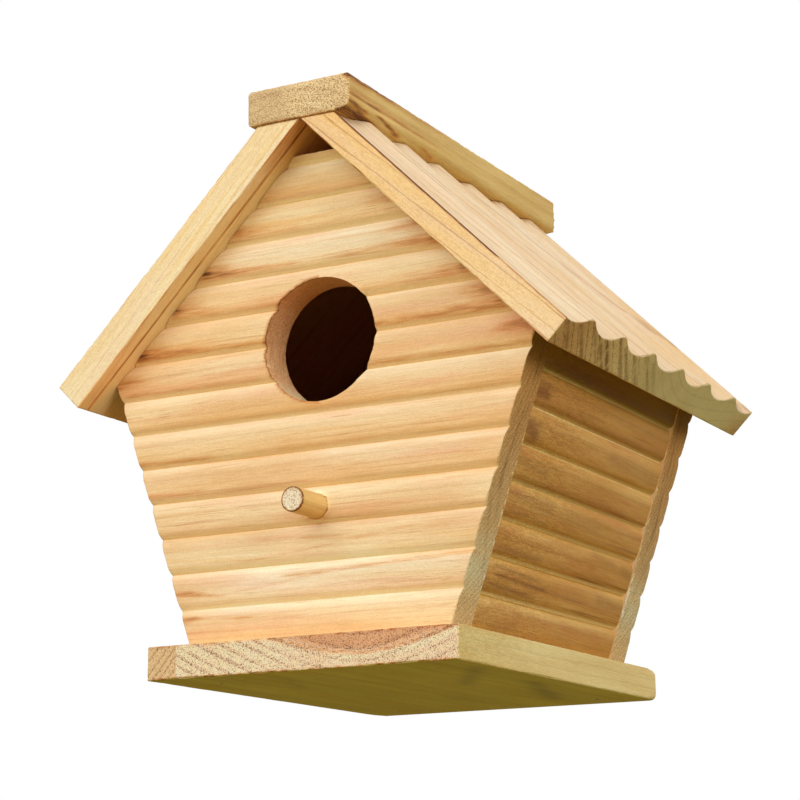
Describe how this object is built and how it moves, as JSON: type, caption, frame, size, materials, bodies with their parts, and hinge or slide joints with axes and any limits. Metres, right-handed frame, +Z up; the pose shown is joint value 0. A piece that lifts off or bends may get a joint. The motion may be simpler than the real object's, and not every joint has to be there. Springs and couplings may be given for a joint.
{
  "type": "nest box",
  "caption": "Small wooden nest box with grooved walls that lean outward, a scalloped gable roof with a ridge cap, a round entrance and a short dowel perch.",
  "frame": {"origin": "centre of the floor board's underside, on the surface that the box stands on", "axes": "+Z up, -Y out of the front wall with the entrance, X across the gable from eave to eave"},
  "size_m": [0.1762, 0.149, 0.177],
  "materials": {
    "floor_pine": "raw sawn pine, end grain to the front",
    "siding_pine": "raw planed pine with milled grooves",
    "roof_pine": "raw planed pine with milled coves",
    "cap_pine": "raw sawn pine",
    "perch_wood": "raw turned dowel",
    "brad_steel": "bright wire"
  },
  "bodies": {
    "root": {"floor_board": "floor_pine", "front_wall": "siding_pine", "back_wall": "siding_pine", "left_wall": "siding_pine", "right_wall": "siding_pine", "left_roof_panel": "roof_pine", "right_roof_panel": "roof_pine", "ridge_cap": "cap_pine", "perch_dowel": "perch_wood", "floor_brads": "brad_steel", "back_wall_brads": "brad_steel", "right_roof_brads": "brad_steel", "left_roof_brads": "brad_steel", "ridge_cap_brads": "brad_steel"}
  },
  "joints": []
}
